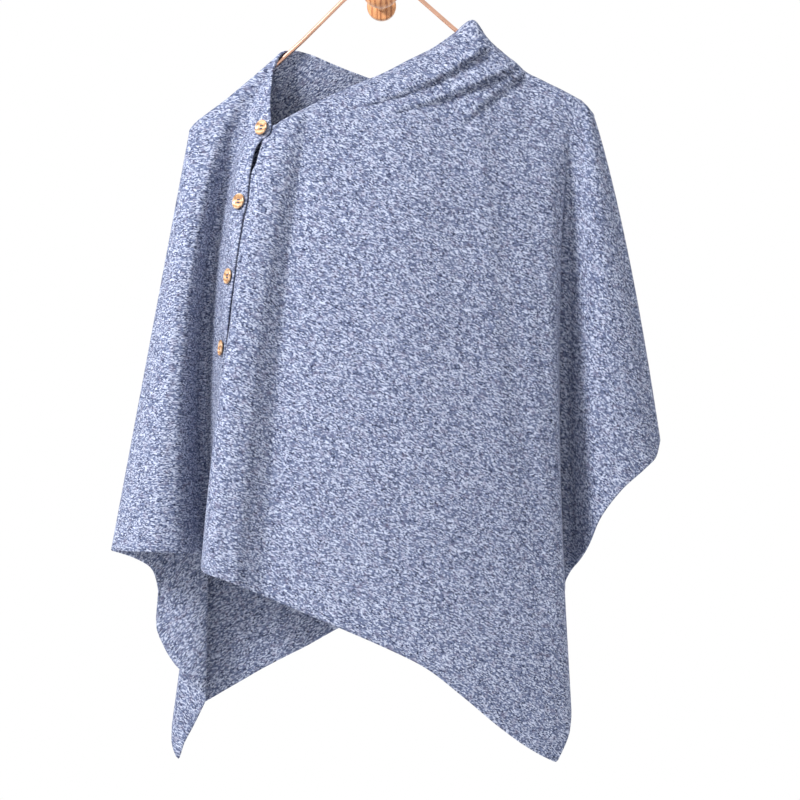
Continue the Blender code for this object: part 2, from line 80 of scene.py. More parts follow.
# One row for each fold line of the cape, from the front's buttoned edge round to the left one.
# top: right, down, stand off the hanger plane. hem: right, down, fore. sway: sideways bow.
# belly: outward bow. lift: height above the wire where the cloth goes over it, 0 on a free edge.
FRONT = (
    ("lap_edge", 264, 128, 20, 213, 564, 7, 0, 0, 0),
    ("beside_lap", 276, 125, 32, 212, 565, 22, 0, 0, 0),
    ("flank", 280, 122, 31, 204.5, 566, 37, -15, 20, 0),
    ("ridge_side", 284, 120, 30, 201.5, 568, 50, -15, 20, 0),
    ("ridge_turn", 288, 118, 30, 205, 572.5, 64, -14, 16, 0),
    ("ridge_crest", 293, 115, 29, 216, 576.5, 75, -11, 12, 0),
    ("ridge_light", 299, 112, 28, 232, 582, 76, -10, 10, 0),
    ("ridge_end", 305, 109, 27, 248, 588.5, 67, -9, 8, 0),
    ("front_valley", 312, 105.5, 26, 265, 595.5, 61, -8, 5, 0),
    ("after_valley", 323, 100, 25, 285, 604, 65, -6, 8, 0),
    ("front_1", 341, 91.5, 23, 313, 616, 71, -3, 10, 0),
    ("front_2", 361, 83, 21, 346, 630, 75, 0, 11, 0),
    ("front_3", 384, 73.5, 18, 385, 647, 77, 0, 12, 0),
    ("front_4", 408, 61, 14, 425, 667, 76, 0, 12, 0),
    ("front_5", 432, 49, 9, 464, 697, 72, 0, 11, 0),
    ("front_6", 454, 34, 5, 500, 727, 65, 0, 10, 0),
    ("peak", 472.6, 20.7, 7, 528, 747, 58, 0, 9, 21),
    ("stack_1", 484, 35, 7, 547, 757.5, 52, 0, 7, 15),
    ("tip", 500, 52, 6, 556, 761, 48, 0, 6, 10),
    ("tip_side", 514, 62, 5, 560.5, 754, 45, 0, 6, 8),
    ("shoulder_1", 526, 73, 4.5, 569, 731, 38, -2, 6, 7),
    ("shoulder_2", 540, 80, 4, 570.5, 712, 28, -2, 8, 7),
    ("contour_1", 552, 86, 4, 567.5, 681, 13, -3, 10, 7),
    ("contour_2", 562, 91, 4, 565, 640, -4, -6, 9, 7),
    ("contour_3", 570, 95, 4, 563.5, 604, -20, -8, 4, 7),
    ("sleeve_valley", 576, 98.5, 4, 565, 583, -29, -13, -6, 6.5),
    ("valley_side", 580, 100.5, 4, 571, 570, -27, -9, -5, 6.5),
    ("sleeve_turn", 583, 103, 4, 580, 559, -15, -4, 0, 6),
    ("sleeve_1", 585, 105, 4, 588, 546, -3, -1, 2, 6),
    ("sleeve_2", 587, 107, 4, 600, 518.6, 8, 0, 4, 6),
    ("sleeve_3", 589, 109.5, 3.4, 622, 489, 12, 1, 4, 5),
    ("sleeve_4", 591, 112, 2.2, 645, 468, 7, 3, 2, 4),
    ("sleeve_5", 592.3, 113.7, 1.2, 656, 456, -2, 4, 0, 3),
)
RIGHT_SIDE = ("right_side", 593.5, 116, 0, 659.5, 440, -12, 6, 0, 2)
BACK = (
    ("back_1", 592, 113.5, 1.2, 652, 444, -23, 4, 0, 3),
    ("back_2", 588, 109, 3.6, 636, 454, -34, 2, 0, 5),
    ("back_3", 580, 102, 4, 606, 471, -44, 0, 3, 6),
    ("back_4", 566, 93, 4, 566, 494, -47, 0, 5, 7),
    ("back_5", 546, 83, 4, 526, 518, -42, 0, 5, 7),
    ("back_6", 526, 73, 4.5, 488, 540, -49, 0, 5, 7),
    ("back_7", 506, 56, 5, 452, 561, -54, 0, 5, 9),
    ("back_8", 488, 40, 6, 420, 580, -48, 0, 5, 13),
    ("back_peak", 472.6, 20.7, 7, 392, 596, -46, 0, 5, 21),
    ("nape_1", 463, 37, 9, 372, 608, -51, 0, 5, 0),
    ("nape_2", 448, 56, 11, 352, 620, -55, 0, 5, 0),
    ("nape_3", 428, 71, 13, 330, 632, -52, 0, 5, 0),
    ("nape_4", 404, 80, 14, 306, 645.5, -47, 0, 5, 0),
    ("nape_5", 380, 81, 13, 284, 656.5, -50, 0, 5, 0),
    ("nape_6", 356, 74, 11, 263, 667.5, -55, 0, 4, 0),
    ("nape_7", 331, 64, 9, 243, 679, -57, 0, 4, 0),
    ("nape_8", 308, 54.5, 7, 224, 690, -58, 0, 3, 0),
    ("nape_9", 293, 51.2, 5, 206, 700.5, -57, 0, 3, 0),
    ("neck_left", 284, 52, 4, 192, 708, -56, 0, 3, 6),
    ("pleat_a1", 273, 60.6, 4, 179, 715.5, -54, 0, 2, 7.5),
    ("pleat_a2", 262, 70.2, 4, 173, 723, -50, 0, 2, 6.5),
    ("pleat_a3", 252, 78.8, 4, 172.3, 742, -45, 0, 1, 6.3),
    ("corner", 243, 86.3, 4, 178.5, 758, -42, 0, 0, 6.3),
    ("pleat_b1", 236, 92.3, 4, 184.5, 742, -40, 0, 0, 6.3),
    ("pleat_b2", 229, 98.2, 4, 191.5, 729, -38, 0, 0, 6.2),
    ("pleat_b3", 222, 103.4, 4, 199.5, 713, -35, 0, 0, 6.2),
    ("pleat_c1", 216, 108, 4, 205.3, 698, -30, 0, 0, 6.2),
    ("pleat_c2", 210, 112.4, 4, 199, 687, -25, 0, 0, 6.2),
    ("pleat_c3", 206, 115.4, 4, 188, 675.5, -22, 0, 0, 6.2),
    ("inner_1", 203, 117.6, 4, 176, 664.8, -22, 0, 0, 6.2),
    ("inner_2", 200, 119.8, 3.9, 163.5, 645, -23, 0, 0, 6),
    ("inner_3", 198, 121.4, 3.7, 156.5, 625, -23, 0, 0, 5.8),
    ("inner_4", 196, 123.3, 3.3, 158.7, 598, -21, 0, 0, 5),
    ("inner_5", 194, 125.6, 2.6, 153, 570, -18, 0, 0, 4),
    ("inner_6", 192, 128, 1.4, 134, 557, -11, 0, 0, 3),
)
LEFT_SIDE = ("left_side", 190, 131, 0, 112, 550, 0, 0, 0, 2)
LEFT = (
    ("left_1", 192, 128, 1.4, 117.5, 550.3, 11, 0, 2, 3),
    ("left_2", 196, 123.3, 3.3, 127, 550.5, 23, -2, 3, 5),
    ("left_3", 203, 117.6, 4, 141, 551, 33, -5, 5, 6.2),
    ("left_4", 214, 109.4, 4, 157, 551.5, 38, -11, 7, 6.2),
    ("left_5", 226, 100.5, 4, 173, 552, 35, -17, 8, 6.2),
    ("left_6", 238, 90.5, 4, 187, 552.5, 23, -22, 6, 6.3),
    ("left_7", 250, 80.5, 4, 198, 553, 6, -27, 2, 6.3),
    ("valley_in", 259, 72.8, 4, 206, 554, -4, -31, -2, 6.4),
    ("valley_deep", 267, 66, 4, 212, 555, -7, -32, -4, 7),
    ("valley_out", 275.5, 58.7, 4, 211, 556, 2, -20, 0, 7.5),
    ("wrap_edge", 284, 52, 4, 209, 556, 17, 0, 0, 6),
)

# The left wrap's buttoned edge: down, right, fore, how far it faces left in degrees, lap of the front
EDGE = (
    (52, 284, 0, 10, 10),
    (55, 279.5, 4, 14, 10),
    (60, 276, 7, 20, 10),
    (70, 272.8, 11, 30, 10),
    (85, 271, 16, 38, 10),
    (103, 269.8, 23, 42, 10),
    (127, 270.8, 31, 44, 10),
    (134, 268.5, 31, 44, 7),
    (140, 261, 31, 44, 0),
    (148, 255.6, 32, 44, -5),
    (159, 252.3, 35, 44, -6),
    (172, 249.6, 38, 44, -1),
    (184, 248.2, 40, 44, 6),
    (198, 247, 42, 45, 10),
    (219, 242.3, 45, 50, 5),
    (235, 239.6, 47, 55, 1),
    (252, 236.8, 49, 60, 5),
    (273, 234, 51, 66, 10),
    (306, 229.6, 52.5, 72, 3),
    (346, 225.5, 52, 78, 10),
    (400, 219.4, 46, 84, 6),
    (480, 213, 32, 92, 4),
    (566, 209, 17, 96, 4),
)

# Lapped pleats at the right of the neck: start and end as right and down, sag, height, fade
PLEATS = (
    (491, 45.5, 352, 108, 8, 9.0, 0.7),
    (519, 66, 384, 114.5, 4, 10.0, 0.7),
    (526, 73.5, 453, 136, -4, 8.0, 0.8),
)
PLEAT_ABOVE = 13.0
PLEAT_BELOW = 10.0
PLEAT_STEP = 1.6

# Corners of the wire's closed path: right, down, bend radius
WIRE_PATH = (
    (380, -36, 58.2),
    (302, 41.5, 120),
    (260, 79, 120),
    (204, 123.6, 40),
    (193.5, 132.6, 7),
    (588, 112.6, 7),
    (572, 104, 40),
    (526, 80.5, 120),
    (457, 31.5, 120),
)

# Colours, linear
NAVY = (0.014, 0.018, 0.046)
MID_BLUE = (0.105, 0.128, 0.215)
PALE = (0.360, 0.395, 0.510)
DUSTY = (0.170, 0.150, 0.215)
COPPER = (0.78, 0.46, 0.33)
WOOD_LIGHT = (0.62, 0.27, 0.105)
WOOD_DARK = (0.36, 0.125, 0.040)
SHELL_LIGHT = (0.66, 0.44, 0.27)
SHELL_DARK = (0.30, 0.15, 0.06)


def pchip(knots, values, at):
    """Smooth curve through the values at the knots, without overshoot."""
    step = np.diff(knots)[:, None]
    slope = np.diff(values, axis=0) / step
    before = slope[:-1]
    after = slope[1:]
    one = 2 * step[1:] + step[:-1]
    two = step[1:] + 2 * step[:-1]
    same = before * after > 0
    safe_before = np.where(same, before, 1.0)
    safe_after = np.where(same, after, 1.0)
    inner = np.where(same, (one + two) / (one / safe_before + two / safe_after), 0.0)
    lean = np.vstack([slope[:1], inner, slope[-1:]])
    cell = np.clip(np.searchsorted(knots, at, side="right") - 1, 0, len(knots) - 2)
    wide = step[cell]
    f = ((at - knots[cell])[:, None]) / wide
    low = values[cell] * (1 + 2 * f) * (1 - f) ** 2 + lean[cell] * wide * f * (1 - f) ** 2
    high = values[cell + 1] * f * f * (3 - 2 * f) + lean[cell + 1] * wide * f * f * (f - 1)
    return low + high


def place(seen):
    """Metres in the part's frame for sizes as seen: right, down, fore."""
    near = (SEEN_FROM - seen[..., 2]) / SEEN_FROM
    x = SEEN_CENTRE + (seen[..., 0] - SEEN_CENTRE) * near - PEG_RIGHT
    z = -(SEEN_CENTRE + (seen[..., 1] - SEEN_CENTRE) * near - PEG_DOWN)
    y = -(HANGER_OFF_WALL + seen[..., 2])
    return np.stack([x, y, z], axis=-1) / 1000


def unit(v):
    return v / np.maximum(np.linalg.norm(v, axis=-1, keepdims=True), 1e-12)


def bow(t):
    return t**0.8 * (1 - t) ** 1.1 / 0.2743


def fold_line(row, side, rows):
    """Points of one fold line. Rows under CREST_SHARE go over the wire, the rest hang."""
    _, top_r, top_d, stand, hem_r, hem_d, hem_f, sway, belly, lift = row
    arc = np.clip(rows / CREST_SHARE, 0, 1) * math.pi / 2
    t = np.clip((rows - CREST_SHARE) / (1 - CREST_SHARE), 0, 1)
    if not lift:
        t = 0.008 + 0.992 * t
        t = np.where(rows < CREST_SHARE, 0.008 * rows / CREST_SHARE, t)
    begin = (FOLD_START - top_d) / (hem_d - top_d)
    late = np.clip((t - begin) / (1 - begin), 0, 1)
    right = top_r + (hem_r - top_r) * t + sway * bow(t)
    down = top_d + lift + (hem_d - top_d - lift) * t
    grown = side * hem_f - stand
    out = stand + max(grown, 0) * t**0.7 + min(grown, 0) * late**0.8
    out = out + max(belly, 0) * bow(t) + min(belly, 0) * bow(late)
    if lift:
        over = rows < CREST_SHARE
        down = np.where(over, top_d + lift * (1 - np.cos(arc)), down)
        out = np.where(over, stand * np.sin(arc), out)
    return np.stack([right, down, side * out], axis=-1)


def edge_at(down):
    """Right, fore, facing and lap of the buttoned edge at each height."""
    table = np.array(EDGE, float)
    found = pchip(table[:, 0], table[:, 1:], np.clip(down, table[0, 0], table[-1, 0]))
    return found[:, 0], found[:, 1], np.radians(found[:, 2]), found[:, 3]


def along_edge(points, shift, inset, blend):
    """Moves a fold line onto the buttoned edge, shifted along the lap and set in behind it."""
    right, fore, facing, lap = edge_at(points[:, 1])
    shift = -lap if shift is None else shift
    onto = points.copy()
    onto[:, 0] = right + shift * np.cos(facing) + inset * np.sin(facing)
    onto[:, 2] = fore + shift * np.sin(facing) - inset * np.cos(facing)
    return points + (onto - points) * blend[:, None]


def fold_lines(rows):
    """Every fold line in order round the cape."""
    lines = [fold_line(row, 1, rows) for row in FRONT]
    whole = np.ones_like(rows)
    lines[0] = along_edge(lines[0], None, LAP_INSET, whole)
    lines[1] = along_edge(lines[1], 5.0, LAP_INSET, whole)
    lines.append(fold_line(RIGHT_SIDE, 1, rows))
    lines += [fold_line(row, -1, rows) for row in BACK]
    lines.append(fold_line(LEFT_SIDE, 1, rows))
    lines += [fold_line(row, 1, rows) for row in LEFT]
    start = np.clip((rows - CREST_SHARE) / 0.08, 0, 1)
    eased = start * start * (3 - 2 * start)
    lines[-2] = along_edge(lines[-2], -14.0, 0.0, eased)
    lines[-1] = along_edge(lines[-1], 0.0, 0.0, whole)
    return np.array(lines)


def knot_places():
    """Distance round the cape at which each fold line falls, from mean spacing."""
    lines = fold_lines(np.array([0.3, 0.6, 0.8, 1.0]))
    gaps = np.linalg.norm(np.diff(lines, axis=0), axis=2).mean(axis=1)
    return np.concatenate([[0.0], np.cumsum(np.maximum(gaps, 4.0))])


KNOTS = knot_places()
RIGHT_SEAM = len(FRONT)
LEFT_SEAM = RIGHT_SEAM + 1 + len(BACK)
LIFTED = np.array([row[9] > 0 for row in FRONT + (RIGHT_SIDE,) + BACK + (LEFT_SIDE,) + LEFT])


def pleat_height(right, down):
    """How far the lapped pleats at the neck stand forward."""
    total = np.zeros_like(right)
    for start_r, start_d, end_r, end_d, sag, height, fade in PLEATS:
        run = math.hypot(end_r - start_r, end_d - start_d)
        ur = (end_r - start_r) / run
        ud = (end_d - start_d) / run
        q = ((right - start_r) * ur + (down - start_d) * ud) / run
        below = (down - start_d) * -ur + (right - start_r) * ud
        below = below - sag * 4 * np.clip(q, 0, 1) * (1 - np.clip(q, 0, 1))
        strength = height * np.clip(1 - q, 0, 1) ** fade * np.clip(1 + q * 8, 0, 1)
        step = np.clip(below / PLEAT_STEP + 0.5, 0, 1)
        above = np.exp(np.minimum(below, 0) / PLEAT_ABOVE)
        under = -0.45 * np.exp(-np.maximum(below, 0) / PLEAT_BELOW)
        total += strength * (above + (under - above) * step * step * (3 - 2 * step))
    return total


def seen_grid(columns, rows):
    """Cape points as seen for column places (in fold-line knots) and rows."""
    lines = fold_lines(rows)
    flat = lines.reshape(len(lines), -1)
    grid = pchip(KNOTS, flat, columns).reshape(len(columns), len(rows), 3)
    on_front = np.clip((KNOTS[RIGHT_SEAM] - columns) / 40, 0, 1)[:, None]
    deep = np.clip((rows - CREST_SHARE * 0.4) / CREST_SHARE, 0, 1)[None, :]
    grid[..., 2] += pleat_height(grid[..., 0], grid[..., 1]) * on_front * deep
    return grid


def hang_rows(count):
    arc = np.linspace(0, CREST_SHARE, ARC_ROWS, endpoint=False)
    hang = CREST_SHARE + (1 - CREST_SHARE) * np.linspace(0, 1, count) ** ROW_POWER
    return np.concatenate([arc, hang])


def columns_between(first, last, count):
    """Column places between two fold lines, with the sharp turns kept."""
    knots = KNOTS[first : last + 1]
    share = np.linspace(knots[0], knots[-1], count)
    for knot in knots[1:-1]:
        near = np.argmin(abs(share - knot))
        if 0 < near < count - 1:
            share[near] = knot
    return np.sort(share)


def cloth_normals(columns, rows):
    """Outward normals of the cape at each grid point."""
    low = np.maximum(columns - 1.0, 0)
    high = np.minimum(columns + 1.0, KNOTS[-1])
    across = place(seen_grid(high, rows)) - place(seen_grid(low, rows))
    down = place(seen_grid(columns, np.minimum(rows + 0.0015, 1)))
    down = down - place(seen_grid(columns, np.maximum(rows - 0.0015, 0)))
    return unit(np.cross(down, across))


def over_crest(column):
    """True where the cloth's top row lies over the wire."""
    low = int(np.clip(np.searchsorted(KNOTS, column + 1e-9) - 1, 0, len(KNOTS) - 2))
    if LIFTED[low] and (LIFTED[low + 1] or column <= KNOTS[low] + 1e-6):
        return True
    return bool(LIFTED[low + 1] and column >= KNOTS[low + 1] - 1e-6)


def stretch(first, last, name):
    """Columns, rows, points and normals of one stretch of the cape."""
    columns = columns_between(first, last, COLUMNS[name])
    rows = hang_rows(ROWS[name])
    points = place(seen_grid(columns, rows))
    normals = cloth_normals(columns, rows)
    crest = np.array([over_crest(column) for column in columns])
    for i in np.flatnonzero(crest):
        ahead = place(seen_grid(np.array([min(columns[i] + 1, KNOTS[-1])]), rows[:1]))[0, 0]
        behind = place(seen_grid(np.array([max(columns[i] - 1, 0)]), rows[:1]))[0, 0]
        run = ahead - behind
        flat = unit(np.array([-run[2], 0.0, run[0]]))
        normals[i, 0] = flat if flat[2] > 0 else -flat
        points[i, 0, 1] = -HANGER_OFF_WALL / 1000
    return columns, rows, points, normals, crest


# Materials
def new_material(name):
    made = bpy.data.materials.new(name)
    made.use_nodes = True
    tree = made.node_tree
    return made, tree.nodes, tree.links, tree.nodes["Principled BSDF"]


def node(nodes, kind, **settings):
    made = nodes.new(kind)
    for key, value in settings.items():
        setattr(made, key, value)
    return made


def ramp(nodes, stops):
    made = nodes.new("ShaderNodeValToRGB")
    made.color_ramp.elements[0].position = stops[0][0]
    made.color_ramp.elements[0].color = (*stops[0][1], 1)
    made.color_ramp.elements[1].position = stops[-1][0]
    made.color_ramp.elements[1].color = (*stops[-1][1], 1)
    for place_on, colour in stops[1:-1]:
        element = made.color_ramp.elements.new(place_on)
        element.color = (*colour, 1)
    return made


def mix_colour(nodes, links, factor, a, b, blend="MIX"):
    made = nodes.new("ShaderNodeMix")
    made.data_type = "RGBA"
    made.blend_type = blend
    sockets = (made.inputs["Factor"], made.inputs[6], made.inputs[7])
    for socket, value in zip(sockets, (factor, a, b)):
        if isinstance(value, (int, float)):
            socket.default_value = value
        elif isinstance(value, tuple):
            socket.default_value = (*value, 1)
        else:
            links.new(value, socket)
    return made.outputs[2]


def math_node(nodes, links, operation, a, b=None):
    made = node(nodes, "ShaderNodeMath", operation=operation)
    for socket, value in zip(made.inputs, (a, b)):
        if value is None:
            continue
        if isinstance(value, (int, float)):
            socket.default_value = value
        else:
            links.new(value, socket)
    return made.outputs[0]


def noise_at(nodes, links, vector, scale, detail=2.0, roughness=0.5):
    made = node(nodes, "ShaderNodeTexNoise")
    made.inputs["Scale"].default_value = scale
    made.inputs["Detail"].default_value = detail
    made.inputs["Roughness"].default_value = roughness
    links.new(vector, made.inputs["Vector"])
    return made.outputs["Fac"]


def knit_material():
    """Fine melange knit: speckled yarn colours, short streaks along the courses, stitch bump."""
    made, nodes, links, shader = new_material("melange_knit")
    cloth = node(nodes, "ShaderNodeUVMap", uv_map="cloth")
    speck_map = node(nodes, "ShaderNodeMapping")
    speck_map.inputs["Scale"].default_value = (560, 1150, 1)
    streak_map = node(nodes, "ShaderNodeMapping")
    streak_map.inputs["Scale"].default_value = (110, 760, 1)
    for mapping in (speck_map, streak_map):
        links.new(cloth.outputs["UV"], mapping.inputs["Vector"])
    speck = node(nodes, "ShaderNodeTexWhiteNoise", noise_dimensions="2D")
    cells = node(nodes, "ShaderNodeTexVoronoi", feature="F1", voronoi_dimensions="2D")
    cells.inputs["Scale"].default_value = 1.0
    cells.inputs["Randomness"].default_value = 0.9
    links.new(speck_map.outputs["Vector"], cells.inputs["Vector"])
    links.new(cells.outputs["Color"], speck.inputs["Vector"])
    stops = ((0.0, NAVY), (0.24, MID_BLUE), (0.52, MID_BLUE), (0.78, PALE), (1.0, PALE))
    yarn = ramp(nodes, stops)
    links.new(speck.outputs["Value"], yarn.inputs["Fac"])
    streak = noise_at(nodes, links, streak_map.outputs["Vector"], 1.0, 3.0, 0.6)
    stops = ((0.34, (0.46, 0.47, 0.52)), (0.50, (1.0, 1.0, 1.0)), (0.66, (1.55, 1.52, 1.46)))
    streaked = ramp(nodes, stops)
    links.new(streak, streaked.inputs["Fac"])
    dyed = yarn.outputs["Color"]
    colour = mix_colour(nodes, links, 0.75, dyed, streaked.outputs["Color"], "MULTIPLY")
    tint = noise_at(nodes, links, cloth.outputs["UV"], 150.0, 2.0)
    tinted = ramp(nodes, ((0.52, (0.0, 0.0, 0.0)), (0.70, (1.0, 1.0, 1.0))))
    links.new(tint, tinted.inputs["Fac"])
    share = math_node(nodes, links, "MULTIPLY", tinted.outputs["Color"], 0.35)
    colour = mix_colour(nodes, links, share, colour, DUSTY)
    links.new(colour, shader.inputs["Base Color"])
    shader.inputs["Roughness"].default_value = 0.92
    shader.inputs["Sheen Weight"].default_value = 0.10
    shader.inputs["Sheen Roughness"].default_value = 0.45
    shader.inputs["Sheen Tint"].default_value = (0.75, 0.80, 1.0, 1)
    shader.inputs["Specular IOR Level"].default_value = 0.2
    fuzz = noise_at(nodes, links, speck_map.outputs["Vector"], 0.9, 2.0)
    height = math_node(nodes, links, "ADD", fuzz, math_node(nodes, links, "MULTIPLY", streak, 1.4))
    bump = node(nodes, "ShaderNodeBump")
    bump.inputs["Strength"].default_value = 0.55
    bump.inputs["Distance"].default_value = 0.0006
    links.new(height, bump.inputs["Height"])
    links.new(bump.outputs["Normal"], shader.inputs["Normal"])
    return made


def thread_material(name, colour):
    """Twisted sewing yarn."""
    made, nodes, links, shader = new_material(name)
    where = node(nodes, "ShaderNodeTexCoord")
    soft = noise_at(nodes, links, where.outputs["Object"], 900.0, 2.0)
    shade = ramp(nodes, ((0.3, tuple(c * 0.6 for c in colour)), (0.7, colour)))
    links.new(soft, shade.inputs["Fac"])
    links.new(shade.outputs["Color"], shader.inputs["Base Color"])
    shader.inputs["Roughness"].default_value = 0.9
    return made


def wood_material():
    """Oiled wood with long grain across the ball's face and fine pores."""
    made, nodes, links, shader = new_material("peg_wood_grain")
    where = node(nodes, "ShaderNodeTexCoord")
    long_grain = node(nodes, "ShaderNodeMapping")
    long_grain.inputs["Scale"].default_value = (1.0, 0.25, 0.12)
    long_grain.inputs["Rotation"].default_value = (0, math.radians(12), 0)
    links.new(where.outputs["Object"], long_grain.inputs["Vector"])
    rings = node(nodes, "ShaderNodeTexWave", wave_type="BANDS", bands_direction="X")
    rings.inputs["Scale"].default_value = 62.0
    rings.inputs["Distortion"].default_value = 5.0
    rings.inputs["Detail"].default_value = 3.0
    rings.inputs["Detail Scale"].default_value = 2.0
    links.new(long_grain.outputs["Vector"], rings.inputs["Vector"])
    fine = noise_at(nodes, links, long_grain.outputs["Vector"], 900.0, 4.0, 0.6)
    grain = ramp(nodes, ((0.0, WOOD_DARK), (0.35, WOOD_LIGHT), (1.0, (0.70, 0.33, 0.14))))
    links.new(rings.outputs["Fac"], grain.inputs["Fac"])
    pores = ramp(nodes, ((0.35, (0.62, 0.58, 0.55)), (0.55, (1.0, 1.0, 1.0))))
    links.new(fine, pores.inputs["Fac"])
    colour = mix_colour(nodes, links, 0.7, grain.outputs["Color"], pores.outputs["Color"], "MULTIPLY")
    links.new(colour, shader.inputs["Base Color"])
    shader.inputs["Roughness"].default_value = 0.42
    shader.inputs["Coat Weight"].default_value = 0.25
    shader.inputs["Coat Roughness"].default_value = 0.25
    bump = node(nodes, "ShaderNodeBump")
    bump.inputs["Strength"].default_value = 0.25
    bump.inputs["Distance"].default_value = 0.0004
    links.new(fine, bump.inputs["Height"])
    links.new(bump.outputs["Normal"], shader.inputs["Normal"])
    return made


def copper_material():
    """Drawn copper-coloured wire, slightly uneven."""
    made, nodes, links, shader = new_material("copper_satin")
    where = node(nodes, "ShaderNodeTexCoord")
    cloud = noise_at(nodes, links, where.outputs["Object"], 60.0, 3.0)
    tone = ramp(nodes, ((0.3, tuple(c * 0.82 for c in COPPER)), (0.7, COPPER)))
    links.new(cloud, tone.inputs["Fac"])
    links.new(tone.outputs["Color"], shader.inputs["Base Color"])
    rough = node(nodes, "ShaderNodeMapRange")
    rough.inputs["To Min"].default_value = 0.22
    rough.inputs["To Max"].default_value = 0.36
    links.new(cloud, rough.inputs["Value"])
    links.new(rough.outputs["Result"], shader.inputs["Roughness"])
    shader.inputs["Metallic"].default_value = 1.0
    return made


def shell_material():
    """Polished golden brown button with cloudy bands."""
    made, nodes, links, shader = new_material("button_polished")
    where = node(nodes, "ShaderNodeTexCoord")
    bands = node(nodes, "ShaderNodeTexWave", wave_type="BANDS", bands_direction="DIAGONAL")
    bands.inputs["Scale"].default_value = 90.0
    bands.inputs["Distortion"].default_value = 6.0
    bands.inputs["Detail"].default_value = 3.0
    links.new(where.outputs["Object"], bands.inputs["Vector"])
    tone = ramp(nodes, ((0.0, SHELL_DARK), (0.45, (0.52, 0.30, 0.15)), (1.0, SHELL_LIGHT)))
    links.new(bands.outputs["Fac"], tone.inputs["Fac"])
    links.new(tone.outputs["Color"], shader.inputs["Base Color"])
    shader.inputs["Roughness"].default_value = 0.22
    shader.inputs["Coat Weight"].default_value = 0.5
    shader.inputs["Coat Roughness"].default_value = 0.08
    return made


# Meshes
def add_mesh(name, points, faces, made, smooth=True):
    mesh = bpy.data.meshes.new(name)
    mesh.from_pydata([tuple(map(float, p)) for p in points], [], faces)
    mesh.update()
    shaped = bmesh.new()
    shaped.from_mesh(mesh)
    bmesh.ops.recalc_face_normals(shaped, faces=shaped.faces)
    if shaped.calc_volume(signed=True) < 0:
        bmesh.ops.reverse_faces(shaped, faces=shaped.faces)
    for face in shaped.faces:
        face.smooth = smooth
    shaped.to_mesh(mesh)
    shaped.free()
    mesh.materials.append(made)
    obj = bpy.data.objects.new(name, mesh)
    bpy.context.scene.collection.objects.link(obj)
    return obj


def flat_cloth(first, last, turn):
    """Coarse flat layout of one stretch, so that the courses run true: (columns, rows, u, v)."""
    columns = columns_between(first, last, 60)
    rows = np.linspace(CREST_SHARE, 1, 30)
    points = place(seen_grid(columns, rows))
    wide, tall = points.shape[:2]
    mesh = bpy.data.meshes.new("flat_layout")
    faces = [
        (i * tall + j, (i + 1) * tall + j, (i + 1) * tall + j + 1, i * tall + j + 1)
        for i in range(wide - 1)
        for j in range(tall - 1)
    ]
    mesh.from_pydata([tuple(map(float, p)) for p in points.reshape(-1, 3)], [], faces)
    mesh.uv_layers.new(name="flat")
    obj = bpy.data.objects.new("flat_layout", mesh)
    bpy.context.scene.collection.objects.link(obj)
    bpy.context.view_layer.objects.active = obj
    obj.select_set(True)
    bpy.ops.object.mode_set(mode="EDIT")
    bpy.ops.mesh.select_all(action="SELECT")
    bpy.ops.uv.unwrap(method="CONFORMAL", margin=0.0)
    bpy.ops.object.mode_set(mode="OBJECT")
    corner_uv = np.empty(len(mesh.loops) * 2)
    mesh.uv_layers[0].data.foreach_get("uv", corner_uv)
    corner_of = np.empty(len(mesh.loops), int)
    mesh.loops.foreach_get("vertex_index", corner_of)
    uv = np.zeros((wide * tall, 2))
    uv[corner_of] = corner_uv.reshape(-1, 2)
    uv = uv.reshape(wide, tall, 2)
    bpy.data.objects.remove(obj)
    bpy.data.meshes.remove(mesh)
    # scale to metres and turn so that the given hem run lies along u
    real = np.linalg.norm(np.diff(points, axis=0), axis=2).sum()
    drawn = np.linalg.norm(np.diff(uv, axis=0), axis=2).sum()
    uv = uv * real / drawn
    start, end = turn
    a = uv[np.argmin(abs(columns - KNOTS[start])), -1]
    b = uv[np.argmin(abs(columns - KNOTS[end])), -1]
    angle = math.atan2(*(b - a)[::-1])
    spin = np.array([[math.cos(-angle), -math.sin(-angle)], [math.sin(-angle), math.cos(-angle)]])
    return columns, rows, uv @ spin.T


def spread(columns, rows, layout):
    """The flat layout read at a finer grid."""
    coarse_c, coarse_r, uv = layout
    by_column = pchip(coarse_c, uv.reshape(len(coarse_c), -1), columns)
    by_column = by_column.reshape(len(columns), len(coarse_r), 2)
    flipped = by_column.transpose(1, 0, 2).reshape(len(coarse_r), -1)
    return pchip(coarse_r, flipped, rows).reshape(len(rows), len(columns), 2).transpose(1, 0, 2)


